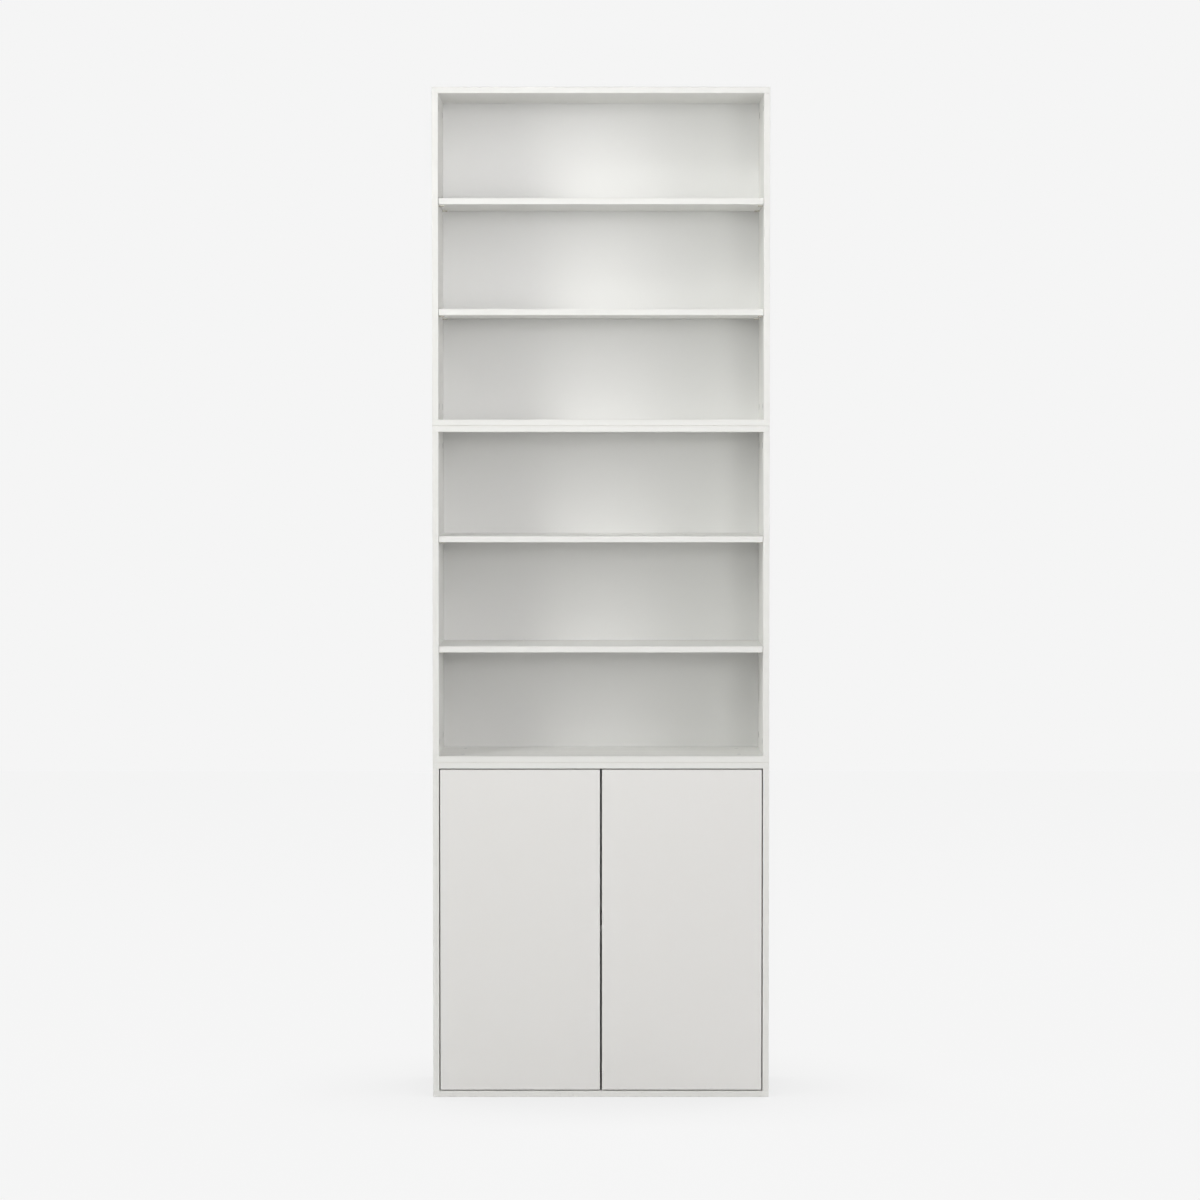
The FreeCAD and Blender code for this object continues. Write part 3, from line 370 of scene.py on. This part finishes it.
def metal(name, bright, dull, patch, grain, depth, smooth, rough):
    """A metal whose tone and roughness drift over patches, with a fine relief."""
    finish, tree = new_finish(name)
    where = add_node(tree, "ShaderNodeTexCoord").outputs["Object"]
    dulled = drift(tree, where, patch, 0.0, 1.0, detail=3)
    colour = add_node(tree, "ShaderNodeMix",
                      {SHARE: dulled, COLOUR_A: linear(bright), COLOUR_B: linear(dull)},
                      data_type="RGBA").outputs[MIXED_COLOUR]
    roughness = drift(tree, where, patch / 2, smooth, rough, detail=4, ragged=0.6)
    normal = grain_relief(tree, where, grain, depth, detail=4, ragged=0.65)
    shader = add_node(tree, "ShaderNodeBsdfPrincipled", {"Base Color": colour, "Roughness": roughness,
                                                         "Normal": normal, "Metallic": 1.0})
    add_node(tree, "ShaderNodeOutputMaterial", {"Surface": shader.outputs["BSDF"]})
    return finish


nickel = metal("nickel_plated_pressed_steel", bright="#CFCAC0", dull="#BDB8AE", patch=9 * MM,
               grain=0.6 * MM, depth=0.006 * MM, smooth=0.20, rough=0.34)
zinc_plate = metal("zinc_plated_steel", bright="#C3C8CC", dull="#AEB2AE", patch=4 * MM,
                   grain=0.5 * MM, depth=0.008 * MM, smooth=0.28, rough=0.45)
cast_zinc = metal("die_cast_zinc", bright="#9A9C9E", dull="#85878A", patch=6 * MM,
                  grain=0.8 * MM, depth=0.03 * MM, smooth=0.45, rough=0.62)
print("metals:", nickel.name, zinc_plate.name, cast_zinc.name)

# %% [markdown]
# ## Moulded plastic, ferrite and beech
# The latch body is white ABS from a spark-eroded mould, which gives a fine even grain. Its
# plunger is grey acetal, which is slippery and a little waxy. The magnet in it is pressed and
# fired ferrite, nearly black. The dowels are turned beech with the grain along their length.

# %% The moulded and turned finishes


def plain_grain(name, first, second, patch, grain, depth, smooth, rough, stretch=(1, 1, 1)):
    """A non-metal with two tones in patches and a fine relief, stretched along an axis for wood."""
    finish, tree = new_finish(name)
    where = add_node(tree, "ShaderNodeTexCoord").outputs["Object"]
    along = add_node(tree, "ShaderNodeMapping", {"Vector": where, "Scale": stretch}).outputs["Vector"]
    patches = drift(tree, along, patch, 0.0, 1.0, detail=4)
    colour = add_node(tree, "ShaderNodeMix",
                      {SHARE: patches, COLOUR_A: linear(first), COLOUR_B: linear(second)},
                      data_type="RGBA").outputs[MIXED_COLOUR]
    roughness = drift(tree, along, grain, smooth, rough, detail=3, ragged=0.6)
    normal = grain_relief(tree, along, grain, depth, detail=3, ragged=0.6)
    shader = add_node(tree, "ShaderNodeBsdfPrincipled", {"Base Color": colour, "Roughness": roughness,
                                                         "Normal": normal, "IOR": RESIN_IOR})
    add_node(tree, "ShaderNodeOutputMaterial", {"Surface": shader.outputs["BSDF"]})
    return finish


ALONG_Z = (1, 1, 0.12)           # a wood grain eight times longer than wide
white_abs = plain_grain("moulded_abs_white", "#EDEDEA", "#E9E9E5", patch=20 * MM,
                        grain=0.7 * MM, depth=0.02 * MM, smooth=0.38, rough=0.48)
grey_acetal = plain_grain("moulded_acetal_grey", "#7D8083", "#76797C", patch=12 * MM,
                          grain=0.9 * MM, depth=0.008 * MM, smooth=0.28, rough=0.38)
ferrite = plain_grain("fired_ferrite", "#2B2B2E", "#363637", patch=3 * MM,
                      grain=0.5 * MM, depth=0.02 * MM, smooth=0.50, rough=0.65)
beech = plain_grain("turned_beech", "#D8B48C", "#B88C60", patch=1.4 * MM,
                    grain=0.7 * MM, depth=0.03 * MM, smooth=0.55, rough=0.70, stretch=ALONG_Z)
print("non-metals:", white_abs.name, grey_acetal.name, ferrite.name, beech.name)

# %% [markdown]
# ## Dressing the construction pieces
# Each construction piece keeps its shape and gets its finish in place of the plain one. The name
# of a piece says what it is, so a short list of endings is enough, and the first that fits counts.

# %% Give each piece its finish
FINISH_BY_ENDING = [
    ("_door", door_painted_shade), ("back_panel", back_white), ("inner_shelf", inner_white),
    ("_shelf", shelf_white), ("_panel", board_white), ("_side", board_white),
    ("cams", cast_zinc), ("dowels", beech),
    ("latch_housing", white_abs), ("latch_plunger", grey_acetal), ("latch_magnet", ferrite),
    ("bolts", zinc_plate), ("screws", zinc_plate), ("strike_plate", zinc_plate), ("", nickel),
]
for node_name, node in NODES.items():
    chosen = next(finish for ending, finish in FINISH_BY_ENDING if node_name.endswith(ending))
    node.data.materials.clear()
    node.data.materials.append(chosen)
print("finishes in use:", len({node.data.materials[0].name for node in NODES.values()}))

# %% [markdown]
# ## Where the screws and pins are
# Equal screws share one construction piece, so its mesh holds several separate solids. Their
# places could be typed in again from the drawing, but then a changed drawing would leave them
# behind. It is safer to find them: corners that share an edge belong to the same solid. Each
# corner first gets its own number, and takes the lowest number along its edges until none
# changes. A solid's axis is the long side of its box, and its head is at the end where it is
# widest.

# %% Find the solids of a piece
WELD = 0.001 * MM                # corners that share a cell of this size are one


def corner_islands(mesh):
    """Corner places in rows, and for each the number of the solid that it belongs to."""
    places = np.empty(len(mesh.vertices) * 3)
    mesh.vertices.foreach_get("co", places)
    places = places.reshape(-1, 3)
    ends = np.empty(len(mesh.edges) * 2, dtype=int)
    mesh.edges.foreach_get("vertices", ends)
    _, spot = np.unique(np.round(places / WELD), axis=0, return_inverse=True)
    ends = spot.ravel()[ends.reshape(-1, 2)]
    lowest = np.arange(spot.max() + 1)
    while True:
        before = lowest.copy()
        shared = lowest[ends].min(axis=1)
        np.minimum.at(lowest, ends[:, 0], shared)
        np.minimum.at(lowest, ends[:, 1], shared)
        if (lowest == before).all():
            return places, np.unique(lowest[spot.ravel()], return_inverse=True)[1]


def head_places(node_name):
    """Centre of the wide end, and the unit vector out of it, for each solid of a piece."""
    places, island = corner_islands(NODES[node_name].data)
    found = []
    for number in range(island.max() + 1):
        own = places[island == number]
        middle = (own.min(axis=0) + own.max(axis=0)) / 2
        along = np.argmax(np.ptp(own, axis=0))
        from_axis = np.delete(own - middle, along, axis=1)
        widest = own[np.argmax(np.hypot(from_axis[:, 0], from_axis[:, 1])), along]
        outward = np.zeros(3)
        outward[along] = np.sign(widest - middle[along])
        found.append((middle + outward * np.ptp(own[:, along]) / 2, outward))
    return found


print("stacking screws:", len(head_places("stacking_screws")))

# %% [markdown]
# ## Turned pieces with an uneven surface
# A screw and a pin are both turned: a line of points goes round an axis. If the radius or the
# height also depends on the angle, the same grid gives a thread or a driver recess. The first
# and last rings shrink to one point each, so the skin is closed without a seam.

# %% The turned grid
SEGMENTS = 48
CREASE = math.radians(40)
GOLDEN_TURN = 2.39996            # radians; no two neighbours stop at the same angle


def turned_grid(radius, height):
    """Corners and faces of a closed skin from rings in rows, with one pole before and one after.
    A corner is (radius times cosine, radius times sine, height), and the poles lie on the axis."""
    rings, segments = radius.shape
    angle = np.linspace(0, 2 * np.pi, segments, endpoint=False)
    skin = np.stack([radius * np.cos(angle), radius * np.sin(angle), height], axis=-1).reshape(-1, 3)
    poles = [[0, 0, height[0].mean()], [0, 0, height[-1].mean()]]
    ring, step = np.meshgrid(np.arange(rings - 1), np.arange(segments), indexing="ij")
    here = ring * segments + step
    beside = ring * segments + (step + 1) % segments
    quads = np.stack([here, here + segments, beside + segments, beside], axis=-1).reshape(-1, 4)
    step = np.arange(segments)
    after = (step + 1) % segments
    first = np.stack([np.full(segments, rings * segments), step, after], axis=-1)
    tail = (rings - 1) * segments
    last = np.stack([np.full(segments, rings * segments + 1), tail + after, tail + step], axis=-1)
    return np.vstack([skin, poles]), quads, np.vstack([first, last])


def placed(corners, centre, outward, turn):
    """Corners moved so that their Z axis points outward at a place, after a turn about it."""
    up = np.asarray(outward, float)
    side = np.roll(up, 1)
    other = np.cross(up, side)
    cos, sin = math.cos(turn), math.sin(turn)
    turned = np.stack([cos * corners[:, 0] - sin * corners[:, 1],
                       sin * corners[:, 0] + cos * corners[:, 1], corners[:, 2]], axis=-1)
    return centre + turned @ np.stack([side, other, up])


def add_turned_pieces(name, node_name, skin, finish):
    """One object with a copy of a turned skin on every solid of a node, which it replaces."""
    corners, quads, fans = skin
    spots = head_places(node_name)
    shift = len(corners)
    everywhere = np.vstack([placed(corners, centre, outward, GOLDEN_TURN * i)
                            for i, (centre, outward) in enumerate(spots)])
    all_quads = np.vstack([quads + shift * i for i in range(len(spots))])
    all_fans = np.vstack([fans + shift * i for i in range(len(spots))])
    mesh = bpy.data.meshes.new(name)
    mesh.from_pydata(everywhere, [], all_quads.tolist() + all_fans.tolist())
    mesh.shade_smooth()
    mesh.set_sharp_from_angle(angle=CREASE)
    mesh.materials.append(finish)
    piece = bpy.data.objects.new(name, mesh)
    bpy.context.scene.collection.objects.link(piece)
    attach(piece, body_of(NODES[node_name])[0])
    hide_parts(node_name)
    return len(spots)


print("a ring has", SEGMENTS, "corners")

# %% [markdown]
# ## Screws with a cross recess and a rolled thread
# Wood screws are cold-headed from wire, the cross is punched, and the thread is rolled between
# two dies, which pushes the crest out of the core. The recess is made by lowering the head's
# rings wherever they are near one of two crossed lines, deepest at the middle. The thread adds a
# narrow ridge to the core wherever the angle and the depth along the axis are in step. Each
# screw stops at another angle, as screws do.

# %% The screws
FACE_RINGS = 16
FIRST_RING = 0.06                # radius of the ring next to the pole, as a share of the face's
RECESS_ARM = 0.55 * MM           # half the width of one arm of the cross
RECESS_WALL = 0.15 * MM
RECESS_DEPTH = 0.75              # full depth, as a share of the head's height
RECESS_MIDDLE = 1.25             # depth at the middle in full depths, cut off at 1
RECESS_FALL = 1.9                # what that loses from the middle to the head's rim
PAN_EDGE = 1 / 3                 # where a pan head's side begins, as a share of its height
CREST_SHARE = 0.24               # half the share of a turn that the ridge takes
CORE_SHARE = 0.68                # core radius to crest radius
RINGS_PER_TURN = 8


def screw_skin(head, head_height, shank, length, tip, pitch, countersunk):
    """Rings of a screw from the middle of its head, at height 0, down to its point.
    The recess is lowered within one arm's width of either cross line, by a depth that falls in a
    straight line from the middle. The ridge falls in one from the helix's crest to the core."""
    angle = np.linspace(0, 2 * np.pi, SEGMENTS, endpoint=False)
    face_radius = np.linspace(FIRST_RING, 1.0, FACE_RINGS)[:, None] * (head - RECESS_WALL) + 0 * angle
    off_cross = np.minimum(abs(face_radius * np.cos(angle)), abs(face_radius * np.sin(angle)))
    inside = np.clip((RECESS_ARM - off_cross) / RECESS_WALL + 0.5, 0, 1)
    fall = np.clip(RECESS_MIDDLE - RECESS_FALL * face_radius / head, 0, 1)
    face_height = -inside * fall * head_height * RECESS_DEPTH
    if countersunk:
        under = [(head, -RECESS_WALL), (shank, -head_height)]
    else:
        under = [(head, -head_height * PAN_EDGE), (head, -head_height), (shank, -head_height)]
    neck_radius = np.array([r for r, _ in under])[:, None] + 0 * angle
    neck_height = np.array([h for _, h in under])[:, None] + 0 * angle
    turns = (length - head_height) / pitch
    rings = int(turns * RINGS_PER_TURN)
    depth = np.linspace(head_height + RECESS_WALL, length - RECESS_WALL, rings)[:, None]
    phase = (depth / pitch - angle / (2 * np.pi)) % 1.0
    ridge = np.clip(1 - abs(phase - 0.5) / CREST_SHARE, 0, 1)
    taper = np.clip((length - depth) / tip, 0, 1)
    thread = shank * taper * (CORE_SHARE + (1 - CORE_SHARE) * ridge)
    radius = np.vstack([face_radius, neck_radius, thread])
    height = np.vstack([face_height, neck_height, -depth + 0 * angle])
    return turned_grid(radius, height)


wood_screw = screw_skin(head=3.4 * MM, head_height=1.9 * MM, shank=1.75 * MM, length=11.0 * MM,
                        tip=3.0 * MM, pitch=1.25 * MM, countersunk=True)
stack_screw = screw_skin(head=4.0 * MM, head_height=2.2 * MM, shank=2.0 * MM, length=20.0 * MM,
                         tip=4.0 * MM, pitch=1.6 * MM, countersunk=True)
arm_screw = screw_skin(head=3.0 * MM, head_height=1.8 * MM, shank=1.75 * MM, length=8.0 * MM,
                       tip=0.6 * MM, pitch=0.8 * MM, countersunk=False)
SCREW_KINDS = [("stacking_screws", stack_screw), ("left_door_screws", wood_screw),
               ("right_door_screws", wood_screw), ("left_case_screws", wood_screw),
               ("right_case_screws", wood_screw), ("left_arm_screws", arm_screw),
               ("right_arm_screws", arm_screw)]
for node_name, skin in SCREW_KINDS:
    count = add_turned_pieces("rolled_" + node_name, node_name, skin, zinc_plate)
    print(count, node_name.replace("_", " "))

# %% [markdown]
# ## Shelf pins
# A shelf pin is cut from 5 mm wire on a lathe. The maker turns a shallow groove where it meets
# the board, which stops the plating from binding in the hole, and rounds the end that shows.

# %% The pins
PIN_RADIUS = 2.5 * MM
PIN_LENGTH = 17.0 * MM
ROUNDING = ((1.2 * MM, 0.0), (1.9 * MM, 0.12 * MM), (2.3 * MM, 0.4 * MM))      # radius, depth
ROUNDING_END = 0.9 * MM
GROOVE_START = 8.4 * MM
GROOVE_END = 9.2 * MM
GROOVE_SLOPE = 0.2 * MM          # length of each slanted wall
GROOVE_FLOOR = 2.25 * MM         # radius
CHAMFER_RADIUS = 2.3 * MM
CHAMFER_START = 16.7 * MM
LAST_RING = 0.8 * MM             # radius of the ring next to the far pole
pin_line = np.array([
    *ROUNDING, (PIN_RADIUS, ROUNDING_END), (PIN_RADIUS, GROOVE_START),
    (GROOVE_FLOOR, GROOVE_START + GROOVE_SLOPE), (GROOVE_FLOOR, GROOVE_END - GROOVE_SLOPE),
    (PIN_RADIUS, GROOVE_END), (PIN_RADIUS, CHAMFER_START), (CHAMFER_RADIUS, PIN_LENGTH),
    (LAST_RING, PIN_LENGTH)])
pin_skin = turned_grid(pin_line[:, :1] + np.zeros(SEGMENTS), -pin_line[:, 1:] + np.zeros(SEGMENTS))
for box_name in ("base_box", "middle_box", "top_box"):
    node_name = box_name + "_shelf_pins"
    count = add_turned_pieces("turned_" + node_name, node_name, pin_skin, nickel)
    print(count, node_name.replace("_", " "))

# %% [markdown]
# ## The studio
# The floor and the air behind are the same pale grey, so the bookcase stands in a plain field.
# A camera ray sees almost only that grey, darkened where the bookcase hides much of the air from
# the floor, which is its soft shadow. Rays in mirrors and glass see it too. Every other ray sees
# an ordinary pale floor, so light still bounces from it onto the lower boards.

# %% Floor and air
BACKDROP = "#F5F5F5"
FLOOR_SPAN = 14.0        # metres
FLOOR_SHOW = 0.98        # share of plain backdrop in what the camera sees of the floor
FLOOR_GLOW = 1.008       # makes up for the small share that is lit paint
SHADOW_REACH = 0.35      # metres from the bookcase
SHADOW_DEPTH = 0.16      # share of the light that is missing where all air is hidden


def seen_share(tree, amount):
    """The share of a ray that sees plain backdrop: amount for camera, mirror and glass rays."""
    path = add_node(tree, "ShaderNodeLightPath").outputs
    ray = path["Is Camera Ray"]
    for other in ("Is Glossy Ray", "Is Transmission Ray"):
        ray = add_node(tree, "ShaderNodeMath", {0: ray, 1: path[other]}, operation="MAXIMUM").outputs[0]
    return add_node(tree, "ShaderNodeMath", {0: ray, 1: amount}, operation="MULTIPLY").outputs[0]


floor_mesh = bpy.data.meshes.new("studio_floor")
reach = FLOOR_SPAN / 2
floor_mesh.from_pydata([(-reach, -reach, 0), (reach, -reach, 0), (reach, reach, 0), (-reach, reach, 0)],
                       [], [(0, 1, 2, 3)])
floor = bpy.data.objects.new("studio_floor", floor_mesh)
bpy.context.scene.collection.objects.link(floor)
floor_finish, tree = new_finish("painted_studio_floor")
paint = add_node(tree, "ShaderNodeBsdfDiffuse", {"Color": linear(BACKDROP)})
open_air = add_node(tree, "ShaderNodeAmbientOcclusion", {"Distance": SHADOW_REACH}).outputs["AO"]
shaded = add_node(tree, "ShaderNodeMapRange",
                  {"Value": open_air, "To Min": FLOOR_GLOW * (1 - SHADOW_DEPTH),
                   "To Max": FLOOR_GLOW}).outputs["Result"]
glow = add_node(tree, "ShaderNodeEmission", {"Color": linear(BACKDROP), "Strength": shaded})
both = add_node(tree, "ShaderNodeMixShader", {0: seen_share(tree, FLOOR_SHOW), 1: paint.outputs[0],
                                              2: glow.outputs[0]})
add_node(tree, "ShaderNodeOutputMaterial", {"Surface": both.outputs[0]})
floor_mesh.materials.append(floor_finish)

AIR = "#FAF7F7"
AIR_STRENGTH = 0.08
world = bpy.data.worlds.new("studio_air")
bpy.context.scene.world = world
world.use_nodes = True
tree = world.node_tree
tree.nodes.clear()
lit_air = add_node(tree, "ShaderNodeBackground", {"Color": linear(AIR), "Strength": AIR_STRENGTH})
seen_air = add_node(tree, "ShaderNodeBackground", {"Color": linear(BACKDROP), "Strength": 1.0})
air = add_node(tree, "ShaderNodeMixShader", {0: seen_share(tree, 1.0), 1: lit_air.outputs[0],
                                             2: seen_air.outputs[0]})
add_node(tree, "ShaderNodeOutputWorld", {"Surface": air.outputs[0]})
print("floor", FLOOR_SPAN, "m wide, air strength", AIR_STRENGTH)

# %% [markdown]
# ## Lamps
# A white bookcase needs a plain, soft light, so that its boards stand apart by their shades alone.
# Two large soft boxes, one on each side and just above the top, give the fronts their light and
# reach into the compartments, which stay darker under each shelf. A smaller lamp high on the
# left adds light to the upper boxes and to the tops of the shelves. A far panel behind and above
# the camera lights the backs almost straight on, and a narrow strip close to the front gives the
# satin backs their upright highlight. A small panel on the right lights the inner left sides.
# Two soft boxes behind the bookcase light its sides, back and top, for views from other sides.
# Each lamp's colour is nearly white, as such lamps differ a little.

# %% Soft boxes and panels


def soft_lamp(name, place, target, width, height, watts, colour):
    """A rectangular lamp at one place, turned to face another."""
    data = bpy.data.lights.new(name, "AREA")
    data.shape = "RECTANGLE"
    data.size, data.size_y = width, height
    data.energy = watts
    data.color = linear(colour)[:3]
    lamp = bpy.data.objects.new(name, data)
    lamp.location = place
    aim = np.array(target, float) - np.array(place, float)
    lamp.rotation_euler = (math.atan2(aim[2], math.hypot(aim[0], aim[1])) + math.pi / 2, 0,
                           math.atan2(-aim[0], aim[1]))
    lamp.visible_camera = False
    bpy.context.scene.collection.objects.link(lamp)


LAMPS = [      # name, place, what it faces, width, height, watts, colour; lengths in metres
    ("right_soft_box", (3.0, -3.0, 2.0), (0, 0, 1.0), 1.5, 2.0, 41.0, "#FFFCFF"),
    ("left_soft_box", (-3.0, -3.0, 2.0), (0, 0, 1.0), 1.5, 2.0, 46.8, "#FEFFFC"),
    ("high_left_lamp", (-2.6, -2.5, 3.2), (0, 0, 1.1), 0.7, 0.7, 33.8, "#FFFFFD"),
    ("far_panel", (-0.1, -8.0, 2.0), (-0.1, 0, 1.4), 0.7, 1.0, 32.5, "#FFFFFF"),
    ("near_strip", (-0.09, -1.6, 2.0), (-0.09, 0, 1.6), 0.25, 1.2, 5.8, "#FEFEFF"),
    ("right_panel", (0.8, -2.5, 1.2), (0, 0, 1.1), 0.4, 0.6, 5.7, "#FFFFFD"),
    ("right_rear_box", (3.0, 2.5, 3.2), (0, 0, 1.0), 1.5, 2.0, 95.0, "#FFFFFF"),
    ("left_rear_box", (-3.0, 2.5, 3.2), (0, 0, 1.0), 1.5, 2.0, 62.0, "#FFFFFF"),
]
for lamp_row in LAMPS:
    soft_lamp(*lamp_row)

# %% [markdown]
# ## Camera
# The view is from the front and far back, with a long lens at the height of a standing
# person's chest. The camera looks slightly down at the middle of the bookcase, so that the whole
# of it is in view, and the upright edges run together by a hundredth of the width on their way
# to the floor.

# %% Camera
LENS = 122.4             # millimetres
SENSOR = 36.0            # millimetres
DISTANCE = 7.26          # metres from the front of the bookcase
EYE_HEIGHT = 1.18        # metres, as the lengths below
EYE_X = -0.0017          # the camera stands a touch to the left
AIM_HEIGHT = 0.890

camera_data = bpy.data.cameras.new("camera")
camera = bpy.data.objects.new("camera", camera_data)
bpy.context.scene.collection.objects.link(camera)
camera_data.sensor_width = SENSOR
camera_data.lens = LENS
look_down = math.atan2(EYE_HEIGHT - AIM_HEIGHT, DISTANCE)
camera.location = (EYE_X, BARE_BOX[0][1] - DISTANCE, EYE_HEIGHT)
camera.rotation_euler = (math.pi / 2 - look_down, 0, 0)
bpy.context.scene.camera = camera
bpy.context.scene.view_settings.view_transform = "Standard"
print("lens", LENS, "mm, looking down by", round(math.degrees(look_down), 2), "degrees")
